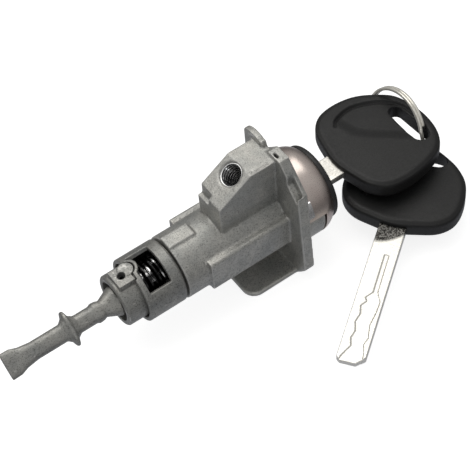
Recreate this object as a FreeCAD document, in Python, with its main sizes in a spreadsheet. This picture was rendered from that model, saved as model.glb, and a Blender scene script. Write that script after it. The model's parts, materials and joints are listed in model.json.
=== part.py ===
"""Car door lock: a die-cast cylinder housing with its turning plug, the clutch collar, spring and
pinned tail lever at the rear, a domed bezel at the front, and two keys on a split ring.

Frame: the X axis is the axis of the lock, +X towards the key; +Z is up; the origin lies on the axis
in the plane of the barrel's rear end. All sizes are in millimetres and degrees.
"""
import FreeCAD, Part
import math
import os
import re
import Sketcher

Vec = FreeCAD.Vector

# Driving dimensions: each becomes one cell of the spreadsheet "dims".
SIZES = {
    # barrel and flange of the housing
    "barrel_radius": 10.8, "barrel_length": 37.3, "flange_thick": 3.7,
    "flange_half_top": 16.2, "flange_half_foot": 18.5, "flange_top": 28.8, "flange_shoulder": 19.0,
    "flange_far_shoulder": 10.8, "crown_near": 7.4, "crown_far": 1.8,
    "flange_bottom": 19.0, "knee_rise": 5.0, "knee_inset": 4.0, "flange_round": 3.0,
    "notch_high": 10.9, "notch_low": 15.9, "notch_depth": 3.2, "notch_width": 2.3,
    "ear_y": 5.8, "ear_radius": 4.8, "ear_drop": 1.0, "ear_thick": 2.0,
    "nose_radius": 13.4, "nose_length": 7.0,
    # screw boss on top of the barrel
    "boss_length": 21.0, "boss_near": 5.5, "boss_far": 6.3, "boss_drop": 1.1, "slope_drop": 7.6,
    "crown_length": 9.0, "step_depth": 1.6, "step_drop": 2.9, "groove_width": 0.6, "groove_depth": 0.7,
    "groove_inset": 0.35, "screw_radius": 3.7, "screw_mouth": 4.2, "screw_depth": 11.0, "screw_step": 8.6,
    "screw_y": 0.5,
    # side rails, key pad and foot shelf
    "rail_rear": 7.9, "rail_stand": 0.8, "rail_half": 6.15, "rail_round": 1.0,
    "pad_length": 9.4, "pad_near": 1.5, "pad_far": 3.6, "pad_rise": 0.6,
    "foot_length": 18.3, "foot_inset": 4.2, "foot_thick": 1.7, "foot_round": 4.5,
    # plug, sleeve and wafers
    "plug_radius": 6.0, "running_fit": 0.05, "plug_rear": 1.0, "stem_radius": 3.0, "stem_fit": 0.02,
    "head_step": 2.4, "head_thick": 3.0, "sleeve_wall": 1.2, "sleeve_rear": 12.0, "seal_seat": 3.0,
    "keyway_room": 1.5, "keyway_gap": 0.3, "keyway_play": 0.25,
    "wafer_count": 8, "wafer_step": 3.0, "wafer_pitch": 3.2, "wafer_thick": 1.0,
    "wafer_inset": 0.65, "wafer_rim": 1.0, "wafer_gap": 0.05,
    "oring_radius": 0.7, "oring_squeeze": 0.06, "oring_step": 1.5,
    # bezel, face plate and seal
    "bezel_length": 12.3, "bezel_wall": 0.7, "nose_gap": 0.9, "rim_turn": 1.0, "mouth_gap": 0.4,
    "face_gap": 0.1, "seal_length": 2.0, "seal_step": 0.1, "face_thick": 1.6, "face_radius": 11.6,
    "slot_play": 0.8, "clip_width": 3.2, "clip_thick": 0.4, "lip_low": 9.0, "lip_high": 2.2, "lip_length": 7.6,
    "lip_gap": 0.4,
    # clutch collar, spring and yoke
    "collar_step": 0.1, "collar_wall": 1.4, "collar_rear": 14.1, "collar_gap": 0.5,
    "collar_web": 1.4, "window_land": 2.0, "window_length": 7.6, "window_low": 36.0, "window_high": 117.0,
    "rim_width": 0.95, "spring_inset": 2.7, "spring_wire": 0.65, "spring_turns": 5,
    "circlip_reach": 1.6, "circlip_play": 0.05,
    "yoke_gap": 0.7, "yoke_depth": 2.2, "yoke_wall": 1.9, "yoke_web": 2.4, "yoke_overhang": 3.9,
    "tab_inset": 1.1, "tab_length": 5.6, "tab_half": 3.5, "tab_rise": 1.4,
    "nub_step": 0.6, "nub_y": 1.2, "nub_radius": 2.5, "nub_rise": 0.3, "tab_gap": 0.4,
    "pin_setback": 4.6, "pin_radius": 1.25, "pin_gap": 0.05, "pin_wall": 0.5, "pin_slit": 0.2,
    "seat_thick": 1.2, "seat_margin": 0.15,
    # tail lever
    "tail_length": 41.9, "tail_roll": 38.0, "eye_gap": 1.4, "tail_half": 2.9, "tail_depth": 2.3,
    "tip_half": 4.4, "tip_depth": 1.15, "fin_step": 19.9, "fin_half": 5.8, "fin_depth": 3.4, "tail_gap": 0.4,
    # keys and ring
    "blade_half_width": 4.4, "blade_half_thick": 1.25, "blade_length": 52.0, "root_length": 6.5,
    "tip_chamfer": 2.6, "track_depth": 0.7, "track_width": 2.2,
    "key_stand": 10.2, "bow_length": 35.5, "bow_half_width": 19.8, "bow_half_thick": 3.6,
    "bow_edge": 1.9, "hole_from": 26.4, "hole_width": 6.2, "hole_half": 9.0, "hole_shift": -2.7,
    "ring_step": 28.1, "ring_y": 3.4, "ring_z": -3.0, "ring_tilt": 14.0, "ring_radius": 12.8, "ring_wire": 0.6,
    "spare_step": 3.6, "spare_y": -25.0, "spare_z": -9.6, "spare_turn": 36.5,
}
# Places and sizes that follow from the driving ones: what fits in or lines up with another piece.
LINKED = {
    "flange_knee": "flange_bottom - knee_rise",
    "ear_centre_z": "flange_top - ear_drop",
    "shoulder_slope": "(flange_top - flange_shoulder) / (flange_half_top - crown_near)",
    "boss_rear": "barrel_length - boss_length", "boss_slope_end": "barrel_length - crown_length",
    "boss_top": "flange_top - boss_drop", "boss_rear_top": "boss_top - slope_drop",
    "step_top": "boss_rear_top - step_drop", "screw_x": "boss_rear + screw_step",
    "rail_reach": "barrel_radius + rail_stand", "pad_top": "barrel_radius + pad_rise",
    "foot_rear": "barrel_length - foot_length", "foot_half": "flange_half_foot - foot_inset",
    "bezel_rear": "barrel_length + flange_thick", "nose_front": "bezel_rear + nose_length",
    "bezel_front": "bezel_rear + bezel_length", "bezel_radius": "nose_radius + nose_gap + bezel_wall",
    "bezel_mouth": "face_radius + mouth_gap", "bezel_rim": "bezel_mouth + rim_turn",
    "seal_radius": "bezel_rim - seal_step", "seal_front": "bezel_front + seal_length",
    "plug_front": "bezel_front - face_gap", "head_radius": "plug_radius + head_step",
    "face_front": "plug_front + face_thick",
    "sleeve_radius": "plug_radius + sleeve_wall", "seat_rear": "nose_front - seal_seat",
    "oring_x": "nose_front - oring_step",
    "bow_start": "bezel_front + key_stand", "blade_tip": "bow_start - blade_length",
    "blade_root": "bow_start + root_length", "keyway_rear": "blade_tip - keyway_room",
    "keyway_half_width": "blade_half_width + keyway_gap", "keyway_half_height": "blade_half_thick + keyway_play",
    "wafer_first": "keyway_rear + wafer_step", "wafer_half_width": "plug_radius - wafer_inset",
    "wafer_half_height": "keyway_half_height + wafer_rim",
    "face_slot_half": "blade_half_width + slot_play", "face_slot_height": "blade_half_thick + slot_play",
    "circlip_radius": "plug_radius + circlip_reach",
    "collar_radius": "barrel_radius - collar_step", "collar_bore": "collar_radius - collar_wall",
    "window_rear": "collar_rear - window_land", "window_front": "window_rear - window_length",
    "yoke_front": "collar_rear - yoke_depth", "yoke_radius": "collar_bore - yoke_gap",
    "yoke_bore": "yoke_radius - yoke_wall", "pin_x": "yoke_front + pin_setback",
    "yoke_rear": "pin_x + yoke_overhang", "tab_rear": "yoke_rear - tab_inset",
    "tab_front": "tab_rear - tab_length", "tab_top": "yoke_radius + tab_rise",
    "nub_x": "tab_front + nub_step", "nub_top": "tab_top + nub_rise",
    "spring_radius": "collar_bore - spring_inset", "seat_radius": "spring_radius + spring_wire + seat_margin",
    "tail_eye": "yoke_bore - eye_gap", "tail_tip": "pin_x + tail_length", "fin_x": "pin_x + fin_step",
    "ring_x": "bow_start + ring_step", "spare_x": "bow_start + spare_step",
}
TURN_TO_X = FreeCAD.Rotation(Vec(0, 1, 0), 90)
PLANES = {"XY": "XY_Plane", "XZ": "XZ_Plane", "YZ": "YZ_Plane"}

doc = FreeCAD.newDocument("door_lock")
sheet = doc.addObject("Spreadsheet::Sheet", "dims")


def fill_sheet():
    """Writes every driving dimension as a plain number with an alias."""
    for row, (alias, number) in enumerate(SIZES.items(), start=1):
        sheet.set("A%d" % row, alias)
        sheet.set("B%d" % row, str(number))
        sheet.setAlias("B%d" % row, alias)
    doc.recompute()


def bound(text):
    """An expression in which each size is looked up in the sheet and each linked one is written out."""
    def looked_up(match):
        word = match.group()
        if word in SIZES:
            return "dims." + word
        return "(%s)" % bound(LINKED[word]) if word in LINKED else word
    return re.sub(r"[a-z_]+\w*", looked_up, text)


def value(text):
    """The present value of an expression of sizes."""
    probe = doc.getObject("probe") or doc.addObject("App::FeaturePython", "probe")
    if "Result" not in probe.PropertiesList:
        probe.addProperty("App::PropertyFloat", "Result")
    probe.setExpression("Result", bound(text))
    probe.recompute()
    return probe.Result


def bind(thing, **expressions):
    """Binds properties to expressions; a double underscore stands for a dot."""
    for prop, text in expressions.items():
        thing.setExpression(prop.replace("__", "."), bound(text))
    return thing


def put(thing, along_x="0", along_y="0", along_z="0", rotation=None):
    """Places an object at bound coordinates."""
    if rotation is not None:
        thing.Placement = FreeCAD.Placement(Vec(0, 0, 0), rotation)
    return bind(thing, Placement__Base__x=along_x, Placement__Base__y=along_y, Placement__Base__z=along_z)


def block(name, low, high):
    """A box between two corners, each given as three expressions."""
    box = doc.addObject("Part::Box", name)
    bind(box, Length="(%s) - (%s)" % (high[0], low[0]), Width="(%s) - (%s)" % (high[1], low[1]),
         Height="(%s) - (%s)" % (high[2], low[2]))
    return put(box, *low)


def rod(name, radius, start, end, centre_y="0", centre_z="0"):
    """A cylinder along X."""
    cylinder = doc.addObject("Part::Cylinder", name)
    bind(cylinder, Radius=radius, Height="(%s) - (%s)" % (end, start))
    return put(cylinder, start, centre_y, centre_z, TURN_TO_X)


def post(name, radius, low, high, centre_x="0", centre_y="0"):
    """A cylinder along Z."""
    cylinder = doc.addObject("Part::Cylinder", name)
    bind(cylinder, Radius=radius, Height="(%s) - (%s)" % (high, low))
    return put(cylinder, centre_x, centre_y, low)


def cut(name, base, *tools):
    """Base less every tool."""
    tool = tools[0] if len(tools) == 1 else fuse(name + "_tools", *tools)
    result = doc.addObject("Part::Cut", name)
    result.Base, result.Tool = base, tool
    return result


def fuse(name, *shapes):
    """The union of several objects."""
    result = doc.addObject("Part::MultiFuse", name)
    result.Shapes = list(shapes)
    result.Refine = True
    return result


def common(name, base, tool):
    """What two objects share."""
    result = doc.addObject("Part::Common", name)
    result.Base, result.Tool = base, tool
    return result


def made(name, shape):
    """A piece whose shape comes from Part's own functions."""
    piece = doc.addObject("Part::Feature", name)
    piece.Shape = shape
    return piece


def sketch_in(body, name, plane, points, offset="0"):
    """A closed outline of straight lines whose corners are all bound to the sheet."""
    sketch = body.newObject("Sketcher::SketchObject", name)
    origin_plane = [f for f in body.Origin.OriginFeatures if f.Role == PLANES[plane]][0]
    sketch.AttachmentSupport = (origin_plane, "")
    sketch.MapMode = "FlatFace"
    bind(sketch, AttachmentOffset__Base__z=offset)
    corners = [Vec(value(a), value(b), 0) for a, b in points]
    for index, corner in enumerate(corners):
        sketch.addGeometry(Part.LineSegment(corner, corners[(index + 1) % len(corners)]))
    for index in range(len(corners)):
        sketch.addConstraint(Sketcher.Constraint("Coincident", index, 2, (index + 1) % len(corners), 1))
    for index, corner in enumerate(corners):
        for kind, number, text in (("DistanceX", corner.x, points[index][0]),
                                   ("DistanceY", corner.y, points[index][1])):
            place = sketch.addConstraint(Sketcher.Constraint(kind, -1, 1, index, 1, number))
            sketch.setExpression("Constraints[%d]" % place, bound(text))
    return sketch


def padded(name, plane, points, offset, length, rounds=()):
    """An outline padded along its plane's normal, with corner edges rounded."""
    body = doc.addObject("PartDesign::Body", name)
    sketch = sketch_in(body, name + "_outline", plane, points, offset)
    pad = body.newObject("PartDesign::Pad", name + "_pad")
    pad.Profile = sketch
    bind(pad, Length=length)
    doc.recompute()
    for number, (chosen, radius) in enumerate(rounds):
        base = body.Tip
        names = ["Edge%d" % (i + 1) for i, edge in enumerate(base.Shape.Edges) if chosen(edge)]
        fillet = body.newObject("PartDesign::Fillet", "%s_round%d" % (name, number + 1))
        fillet.Base = (base, names)
        bind(fillet, Radius=radius)
        doc.recompute()
    return body


def turned(name, points):
    """A profile of (x, radius) corners turned about the X axis."""
    body = doc.addObject("PartDesign::Body", name)
    sketch = sketch_in(body, name + "_profile", "XY", points)
    turn = body.newObject("PartDesign::Revolution", name + "_turn")
    turn.Profile = sketch
    turn.ReferenceAxis = (sketch, ["H_Axis"])
    turn.Angle = 360
    doc.recompute()
    return body


def sector(name, start, end, reach, low_angle, high_angle):
    """A wedge about the X axis; angles run from the near side (-Y) up over the top."""
    shape = Part.makeCylinder(value(reach), value(end) - value(start), Vec(value(start), 0, 0), Vec(1, 0, 0),
                              value(high_angle) - value(low_angle))
    shape.rotate(Vec(0, 0, 0), Vec(1, 0, 0), sector_start(shape, value(low_angle), value(high_angle)))
    return made(name, shape)


def sector_start(shape, low_angle, high_angle):
    """The turn about X that brings a wedge's middle to the middle of its wanted angles."""
    centre = shape.CenterOfMass
    have = math.degrees(math.atan2(centre.z, centre.y))
    want = 180 - (low_angle + high_angle) / 2
    return want - have


def at_middle_of(points, tolerance=0.6):
    """A test that says whether an edge's middle lies at one of some points, in the plane of Y and Z."""
    def test(edge):
        middle = edge.CenterOfMass
        return any(math.hypot(middle.y - y, middle.z - z) < tolerance for y, z in points)
    return test


def flange():
    """The mounting plate: tapered sides, sloping shoulders, an ear behind and a recess in the near shoulder."""
    points = [("-crown_far", "flange_top"), ("flange_half_top", "flange_far_shoulder"),
              ("flange_half_foot", "-flange_knee"), ("flange_half_foot - knee_inset", "-flange_bottom"),
              ("knee_inset - flange_half_foot", "-flange_bottom"), ("-flange_half_foot", "-flange_knee"),
              ("-flange_half_top", "flange_shoulder"), ("-crown_near", "flange_top")]
    knees = [(value(a), value(b)) for a, b in (points[2], points[5], points[3], points[4])]
    plate = padded("flange_plate", "YZ", points, "barrel_length", "flange_thick",
                   [(at_middle_of(knees), "flange_round")])
    ear = rod("ear_disc", "ear_radius", "barrel_length", "barrel_length + ear_thick", "ear_y", "ear_centre_z")
    root = block("ear_root", ("barrel_length", "ear_y - ear_radius", "flange_far_shoulder"),
                 ("barrel_length + ear_thick", "ear_y + ear_radius", "ear_centre_z"))
    high = "flange_top - shoulder_slope * (notch_high - crown_near)"
    low = "flange_top - shoulder_slope * (notch_low - crown_near)"
    recess = [("-notch_high", high + " + notch_depth"), ("-notch_high", high + " - notch_depth"),
              ("-notch_low", low + " - notch_depth"), ("-notch_low", low + " + notch_depth")]
    notch = padded("shoulder_notch", "YZ", recess, "barrel_length - notch_width", "2 * notch_width")
    return cut("flange", fuse("flange_raw", plate, ear, root), notch)


def screw_boss():
    """The block on the barrel with a sloped rear face and the fixing screw's blind threaded hole."""
    root, front = "barrel_radius / 2", "barrel_length + flange_thick / 2"
    side = [("boss_rear", root), ("boss_rear", "boss_rear_top"), ("boss_slope_end", "boss_top"),
            (front, "boss_top"), (front, root)]
    body = padded("boss_body", "XZ", side, "-boss_far", "boss_near + boss_far")
    step = block("boss_step", ("boss_rear - 1", "screw_y", "step_top"),
                 ("boss_rear + step_depth", "boss_far + 1", "boss_top"))
    groove = block("boss_groove", ("boss_slope_end + groove_width", "groove_inset - boss_near",
                                   "boss_top - groove_depth"),
                   ("boss_slope_end + crown_length * 0.8", "groove_inset + groove_width - boss_near",
                   "boss_top + 1"))
    return cut("boss", body, step, groove)


def screw_hole():
    """The screw's hole, square to the boss's slope, with a countersunk mouth."""
    run, rise = value("boss_slope_end - boss_rear"), value("slope_drop")
    outward = Vec(-rise, 0, run).normalize()
    mouth = Vec(value("screw_x"), value("screw_y"),
                value("boss_rear_top") + rise * (value("screw_x") - value("boss_rear")) / run)
    drill = Part.makeCylinder(value("screw_radius"), value("screw_depth"), mouth, -outward)
    tip = Part.makeCone(value("screw_radius"), 0, value("screw_radius") / 2,
                        mouth - outward * value("screw_depth"), -outward)
    sink_depth = value("screw_mouth") - value("screw_radius")
    sink = Part.makeCone(value("screw_mouth") + 0.5, value("screw_radius"), sink_depth + 0.5,
                         mouth + outward * 0.5, -outward)
    return made("screw_drill", drill.fuse([tip, sink]))


def housing():
    """The die-cast housing: barrel, nose, flange, screw boss, rails, pad and foot, bored right through."""
    barrel = rod("barrel", "barrel_radius", "0", "barrel_length + 1")
    nose = rod("nose", "nose_radius", "barrel_length", "nose_front")
    across = [("-rail_reach", "-rail_half"), ("rail_reach", "-rail_half"),
              ("rail_reach", "rail_half"), ("-rail_reach", "rail_half")]
    rail_edges = at_middle_of([(value(y), value(z)) for y, z in across])
    rails = padded("rails", "YZ", across, "rail_rear", "barrel_length + 1 - rail_rear",
                   [(rail_edges, "rail_round")])
    pad = block("top_pad", ("0", "-pad_near", "barrel_radius / 2"), ("pad_length", "pad_far", "pad_top"))
    corners = [("foot_rear", "-foot_half"), ("barrel_length + 1", "-foot_half"),
               ("barrel_length + 1", "foot_half"), ("foot_rear", "foot_half")]

    def at_foot_corner(edge):
        middle = edge.CenterOfMass
        return abs(middle.x - value("foot_rear")) < 0.1 and abs(abs(middle.y) - value("foot_half")) < 0.1

    foot = padded("foot", "XY", corners, "-flange_bottom", "foot_thick", [(at_foot_corner, "foot_round")])
    near_lip = lip_wedge("lip", "nose_radius - 0.5", "bezel_radius - 0.1", "bezel_rear + lip_length")
    raw = fuse("housing_raw", barrel, nose, rails, pad, foot, flange(), screw_boss(), near_lip)
    bore = rod("plug_bore", "plug_radius + running_fit", "-1", "sleeve_rear + 1")
    pocket = rod("sleeve_bore", "sleeve_radius", "sleeve_rear", "nose_front + 1")
    return cut("housing", raw, screw_hole(), bore, pocket)


def lock_sleeve():
    """The hardened sleeve between the plug and the housing, opened out at the front for the rubber ring."""
    outside = rod("sleeve_outside", "sleeve_radius", "sleeve_rear", "nose_front")
    inside = rod("sleeve_inside", "plug_radius + running_fit", "sleeve_rear - 1", "nose_front")
    seat = rod("sleeve_seat", "plug_radius + oring_radius", "seat_rear", "nose_front + 1")
    return cut("lock_sleeve", outside, inside, seat)


def plug():
    """The turning plug: stem, keyed body with wafer slots, grooved neck and front head."""
    body = turned("plug_turning", [
        ("-yoke_front", "0"), ("-yoke_front", "stem_radius"), ("plug_rear", "stem_radius"),
        ("plug_rear", "plug_radius"), ("oring_x - oring_radius", "plug_radius"),
        ("oring_x - oring_radius", "plug_radius - oring_radius"),
        ("oring_x + oring_radius", "plug_radius - oring_radius"), ("oring_x + oring_radius", "plug_radius"),
        ("plug_front - head_thick", "plug_radius"), ("plug_front - head_thick", "head_radius"),
        ("plug_front - 0.5", "head_radius"), ("plug_front", "head_radius - 0.5"), ("plug_front", "0")])
    keyway = block("keyway", ("keyway_rear", "-keyway_half_width", "-keyway_half_height"),
                   ("plug_front + 1", "keyway_half_width", "keyway_half_height"))
    slots = []
    for number in range(int(value("wafer_count"))):
        middle = "wafer_first + wafer_pitch * %d" % number
        slots.append(block("wafer_slot_%d" % (number + 1),
                           (middle + " - wafer_thick / 2 - wafer_gap", "-plug_radius - 1",
                            "-wafer_half_height - wafer_gap"),
                           (middle + " + wafer_thick / 2 + wafer_gap", "plug_radius + 1",
                            "wafer_half_height + wafer_gap")))
    return cut("plug", body, keyway, *slots)


def wafers():
    """The pack of wafers, each a plate with a window that the key's blade passes through."""
    plates = []
    for number in range(int(value("wafer_count"))):
        middle = "wafer_first + wafer_pitch * %d" % number
        plate = block("wafer_plate_%d" % (number + 1),
                      (middle + " - wafer_thick / 2", "-wafer_half_width", "-wafer_half_height"),
                      (middle + " + wafer_thick / 2", "wafer_half_width", "wafer_half_height"))
        plates.append(plate)
    window = block("wafer_window", ("keyway_rear - 1", "-keyway_half_width", "-keyway_half_height"),
                   ("plug_front", "keyway_half_width", "keyway_half_height"))
    pack = doc.addObject("Part::Compound", "wafer_plates")
    pack.Links = plates
    return cut("wafers", pack, window)


def plug_oring():
    """The rubber ring in the plug's neck groove."""
    ring = doc.addObject("Part::Torus", "plug_oring")
    bind(ring, Radius1="plug_radius", Radius2="oring_radius - oring_squeeze")
    return put(ring, "oring_x", "0", "0", TURN_TO_X)


def bezel_cup():
    """The domed cup over the housing's nose, turned in at the front."""
    outside = [("bezel_rear", "bezel_radius - 0.4"), ("bezel_rear + 2.5", "bezel_radius"),
               ("bezel_front - 5.0", "bezel_radius"), ("bezel_front - 3.6", "bezel_radius - 0.17"),
               ("bezel_front - 2.4", "bezel_radius - 0.5"), ("bezel_front - 1.3", "bezel_radius - 1.07"),
               ("bezel_front - 0.5", "bezel_rim + 0.3"), ("bezel_front", "bezel_rim"),
               ("bezel_front", "bezel_mouth")]
    inside = [("bezel_front - bezel_wall", "bezel_mouth"), ("bezel_front - bezel_wall", "bezel_rim - bezel_wall"),
              ("bezel_front - 2.4", "bezel_radius - 0.5 - bezel_wall"),
              ("bezel_front - 5.0", "bezel_radius - bezel_wall"), ("bezel_rear", "bezel_radius - 0.4 - bezel_wall")]
    return turned("bezel_cup", outside + inside)


def lip_wedge(name, inner, outer, end):
    """The stretch of ring that the housing's lip fills, from the flange forward."""
    ring = cut(name + "_ring", rod(name + "_out", outer, "bezel_rear - 0.5", end),
               rod(name + "_in", inner, "bezel_rear - 1", end + " + 1"))
    wedge = block(name + "_wedge", ("bezel_rear - 1", "-2 * bezel_radius", "-lip_low"),
                  (end + " + 1", "-plug_radius", "lip_high"))
    return common(name, ring, wedge)


def bezel():
    """The bezel less the gap that the housing's lip stands in."""
    gap = block("bezel_gap", ("bezel_rear - 1", "-2 * bezel_radius", "-lip_low - lip_gap"),
                ("bezel_rear + lip_length + lip_gap", "-plug_radius", "lip_high + lip_gap"))
    return cut("bezel_shell", bezel_cup(), gap)


def bezel_seal():
    """The black rubber ring round the bezel's mouth, with rounded outer edges."""
    return turned("bezel_seal", [
        ("bezel_front", "face_radius + face_gap"), ("bezel_front", "seal_radius - 0.2"),
        ("bezel_front + 0.3", "seal_radius"), ("seal_front - 0.9", "seal_radius - 0.05"),
        ("seal_front - 0.3", "seal_radius - 0.4"), ("seal_front", "seal_radius - 0.9"),
        ("seal_front", "face_radius + face_gap")])


def face_plate():
    """The disc on the plug's front, in the bezel's mouth, with the slot that the key goes through."""
    disc = turned("face_disc", [
        ("plug_front", "0"), ("plug_front", "face_radius"), ("face_front - 0.4", "face_radius"),
        ("face_front", "face_radius - 0.6"), ("face_front", "0")])
    slot = block("face_slot", ("plug_front - 1", "-face_slot_half", "-face_slot_height"),
                 ("face_front + 1", "face_slot_half", "face_slot_height"))
    return cut("face_plate", disc, slot)


def bezel_clip():
    """The bright spring strip that holds the bezel's rear edge in the flange."""
    start, inner = "bezel_rear + clip_thick", "bezel_radius + face_gap / 2"
    ring = cut("clip_ring", rod("clip_out", inner + " + clip_thick", start, start + " + clip_width"),
               rod("clip_in", inner, "bezel_rear", start + " + clip_width + 1"))
    wedge = block("clip_wedge", ("bezel_rear", "-2 * bezel_radius", "2 * lip_high"),
                  (start + " + clip_width + 1", "-plug_radius", "2 * lip_high + 1.5 * clip_width"))
    return common("bezel_clip", ring, wedge)


def circlip():
    """The clip behind the barrel that keeps the plug in."""
    washer = cut("circlip_washer", rod("circlip_out", "circlip_radius", "circlip_play - collar_gap", "-circlip_play"),
                 rod("circlip_in", "stem_radius + stem_fit", "-collar_gap", "0"))
    gap = block("circlip_gap", ("-collar_gap", "-stem_radius / 2", "0"), ("1", "stem_radius / 2", "circlip_radius + 1"))
    return cut("plug_circlip", washer, gap)


def clutch_collar():
    """The clutch collar: a cup with a window over the spring and a notch round the yoke's tab."""
    cup = turned("collar_cup", [
        ("-collar_rear", "collar_radius - 0.3"), ("0.3 - collar_rear", "collar_radius"),
        ("-collar_gap - 0.7", "collar_radius"), ("-collar_gap", "collar_radius - 0.7"),
        ("-collar_gap", "stem_radius + stem_fit"), ("-collar_gap - collar_web", "stem_radius + stem_fit"),
        ("-collar_gap - collar_web", "collar_bore"),
        ("-collar_rear", "collar_bore")])
    notch = fuse("collar_notch",
                 block("notch_box", ("-collar_rear - 1", "-tab_half - tab_gap", "0"),
                       ("tab_gap - tab_front", "tab_half + tab_gap", "collar_radius + 1")),
                 post("notch_round", "nub_radius + tab_gap", "0", "collar_radius + 1", "-nub_x", "nub_y"))
    rim = fuse("collar_rim",
               block("rim_box", ("-collar_rear - 1", "-tab_half - tab_gap - rim_width", "0"),
                     ("tab_gap + rim_width - tab_front", "tab_half + tab_gap + rim_width", "collar_radius + 2")),
               post("rim_round", "nub_radius + tab_gap + rim_width", "0", "collar_radius + 2", "-nub_x", "nub_y"))
    window = cut("collar_window", sector("window_wedge", "-window_rear", "-window_front", "collar_radius + 3",
                                         "window_low", "window_high"), rim)
    inner = rod("window_core", "collar_bore - 1", "-collar_rear - 1", "0")
    return cut("clutch_collar", cup, notch, cut("window_cut", window, inner))


def clutch_spring():
    """The clutch's compression spring between the collar's web and its seat, ends closed flat."""
    low, high = -value("yoke_front - seat_thick"), -value("collar_gap + collar_web")
    wire = value("spring_wire")
    pitch = (high - low - 2 * wire) / value("spring_turns")
    path = Part.makeHelix(pitch, pitch * value("spring_turns"), value("spring_radius"))
    path.Placement = FreeCAD.Placement(Vec(low + wire, 0, 0), TURN_TO_X)
    start = path.Vertexes[0].Point
    section = Part.Wire([Part.makeCircle(wire, start, path.Edges[0].tangentAt(path.Edges[0].FirstParameter))])
    return made("clutch_spring", Part.Wire(path.Edges).makePipeShell([section], True, True))


def spring_seat():
    """The thin washer that the spring bears on."""
    return cut("spring_seat", rod("seat_disc", "seat_radius", "-yoke_front", "seat_thick - yoke_front"),
               rod("seat_hole", "stem_radius + stem_fit", "-yoke_front - 1", "seat_thick + 1 - yoke_front"))


def tail_yoke():
    """The yoke: a cup open to the rear, with the pinned tab and its round nub on top."""
    cup = turned("yoke_cup", [
        ("-yoke_rear", "yoke_bore"), ("-yoke_rear", "yoke_radius - 0.5"), ("0.5 - yoke_rear", "yoke_radius"),
        ("-yoke_front", "yoke_radius"), ("-yoke_front", "0"), ("-yoke_front - yoke_web", "0"),
        ("-yoke_front - yoke_web", "yoke_bore")])
    tab = padded("yoke_tab", "XY", [("-tab_rear", "-tab_half"), ("-tab_front", "-tab_half"),
                                    ("-tab_front", "tab_half"), ("-tab_rear", "tab_half")],
                 "yoke_radius - 1", "tab_top - yoke_radius + 1")
    nub = post("yoke_nub", "nub_radius", "yoke_radius - 1", "nub_top", "-nub_x", "nub_y")
    hole = post("yoke_pin_hole", "pin_radius", "-yoke_radius - 1", "tab_top + 1", "-pin_x")
    return cut("tail_yoke", fuse("yoke_raw", cup, tab, nub), hole)


def yoke_pin():
    """The hollow roll pin that the tail lever swings on."""
    body = post("pin_body", "pin_radius", "0.4 - yoke_radius", "tab_top - 1.2", "-pin_x")
    hollow = post("pin_hollow", "pin_radius - pin_wall", "-yoke_radius", "tab_top", "-pin_x")
    split = block("pin_split", ("-pin_x - 2 * pin_radius", "-pin_slit", "-yoke_radius"),
                  ("-pin_x", "pin_slit", "tab_top"))
    return cut("yoke_pin", body, hollow, split)


def oval(x, half, depth):
    """A rounded section of the tail lever across X, before it is rolled into place."""
    points = []
    for step in range(16):
        angle = 2 * math.pi * step / 16
        across, up = math.cos(angle), math.sin(angle)
        bulge = (abs(across) ** 2.6 + abs(up) ** 2.6) ** (-1 / 2.6)
        points.append(Vec(x, -half * across * bulge, depth * up * bulge))
    curve = Part.BSplineCurve()
    curve.interpolate(Points=points, PeriodicFlag=True)
    return Part.Wire([curve.toShape()])


def tail_lever():
    """The tail lever: a round eye, a flared neck, a bar with an oval fin and a spread flat tip."""
    half, depth, tip = value("tail_half"), value("tail_depth"), value("tail_tip")
    tip_half, tip_depth, fin = value("tip_half"), value("tip_depth"), value("fin_x")
    stations = [(-tip, tip_half, tip_depth), (-tip + 3.2, tip_half - 0.1, tip_depth + 0.1),
                (-tip + 5.6, half + 0.55, tip_depth + 0.5), (-tip + 9.5, half, depth - 0.3),
                (-fin - 2.3, half, depth), (-fin - 0.9, half + 1.2, depth + 0.7),
                (-fin - 0.3, value("fin_half"), value("fin_depth")),
                (-fin + 0.5, value("fin_half"), value("fin_depth")),
                (-fin + 1.1, half + 1.0, depth + 0.6), (-fin + 2.6, half, depth + 0.1),
                (-fin + 8.2, half, depth + 0.3), (-fin + 9.0, half + 0.45, depth + 0.6),
                (-fin + 10.6, half + 0.3, depth + 0.7), (-fin + 11.6, half - 0.1, depth + 0.6),
                (-fin + 14.2, half + 1.1, depth + 1.1), (-fin + 16.4, half + 2.1, depth + 1.9)]
    bar = Part.makeLoft([oval(*station) for station in stations], True, True)
    bar.rotate(Vec(0, 0, 0), Vec(1, 0, 0), value("tail_roll"))
    eye = Part.makeSphere(value("tail_eye"), Vec(-value("pin_x"), 0, 0))
    reach = 2 * value("yoke_radius")
    front = Part.makeBox(reach, 2 * reach, 2 * reach,
                         Vec(-value("yoke_front + yoke_web + tail_gap"), -reach, -reach))
    hole = Part.makeCylinder(value("pin_radius + pin_gap"), 2 * reach, Vec(-value("pin_x"), 0, -reach))
    return made("tail_lever", bar.fuse(eye).cut(front).cut(hole).removeSplitter())


def bow_outline(inset=0.0):
    """The key head's outline: nearly straight at the blade, widest a third of the way, then round."""
    start, length, half = value("bow_start"), value("bow_length"), value("bow_half_width")
    shape = [(0.0, 0.0), (0.04, 0.40), (0.085, 0.70), (0.20, 0.94), (0.40, 1.0), (0.62, 0.93),
             (0.82, 0.70), (0.95, 0.38), (1.0, 0.0)]
    upper = [Vec(start + inset + (length - 2 * inset) * a, (half - inset) * b, 0) for a, b in shape]
    lower = [Vec(p.x, -p.y, 0) for p in reversed(upper[1:-1])]
    curve = Part.BSplineCurve()
    curve.interpolate(Points=upper + lower, PeriodicFlag=True)
    return Part.Wire([curve.toShape()])


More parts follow.
